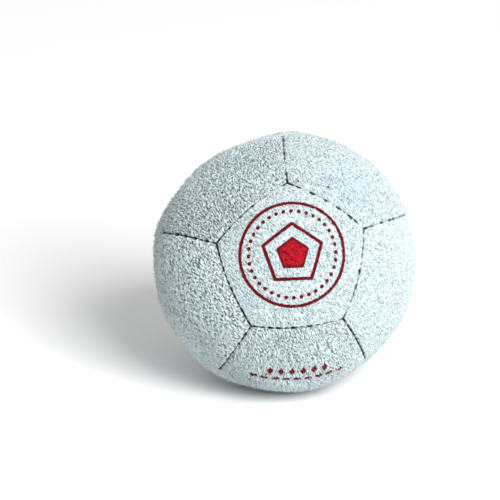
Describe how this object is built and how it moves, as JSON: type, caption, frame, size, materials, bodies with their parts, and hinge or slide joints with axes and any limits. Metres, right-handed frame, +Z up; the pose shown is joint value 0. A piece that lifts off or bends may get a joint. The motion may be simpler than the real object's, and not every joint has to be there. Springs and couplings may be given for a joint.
{
  "type": "boccia ball",
  "caption": "Soft throwing ball of footbag construction: sewn suede pentagon panels with turned-in seams around a granule filling",
  "frame": {"origin": "on the surface that the ball rests on, under the middle of the ball and of its flat underside", "axes": "+Z up from the flat underside; the printed front panel faces -Y, tipped up by about 21 degrees and turned by about 5 degrees towards +X"},
  "size_m": [0.0854, 0.0854, 0.0835],
  "materials": {
    "suede": "matt split suede, pale blue-grey, with a short fuzzy nap",
    "thread": "waxed polyester sewing thread, dark slate",
    "granules": "small moulded plastic granules, off-white"
  },
  "bodies": {
    "root": {"granule_filling": "granules", "panel_back": "suede", "panel_back_left": "suede", "panel_back_lower_left": "suede", "panel_back_lower_right": "suede", "panel_back_right": "suede", "panel_back_upper": "suede", "panel_front": "suede", "panel_left": "suede", "panel_lower": "suede", "panel_right": "suede", "panel_upper_left": "suede", "panel_upper_right": "suede", "thread_back_left-back": "thread", "thread_back_left-back_lower_left": "thread", "thread_back_lower_left-back": "thread", "thread_back_lower_right-back": "thread", "thread_back_lower_right-back_lower_left": "thread", "thread_back_lower_right-back_right": "thread", "thread_back_right-back": "thread", "thread_back_right-back_upper": "thread", "thread_back_upper-back": "thread", "thread_back_upper-back_left": "thread", "thread_front-left": "thread", "thread_front-lower": "thread", "thread_front-right": "thread", "thread_front-upper_left": "thread", "thread_front-upper_right": "thread", "thread_left-back_left": "thread", "thread_left-back_lower_left": "thread", "thread_left-lower": "thread", "thread_lower-back_lower_left": "thread", "thread_lower-back_lower_right": "thread", "thread_lower-right": "thread", "thread_right-back_lower_right": "thread", "thread_right-back_right": "thread", "thread_right-upper_right": "thread", "thread_upper_left-back_left": "thread", "thread_upper_left-back_upper": "thread", "thread_upper_left-left": "thread", "thread_upper_left-upper_right": "thread", "thread_upper_right-back_right": "thread", "thread_upper_right-back_upper": "thread"}
  },
  "joints": []
}
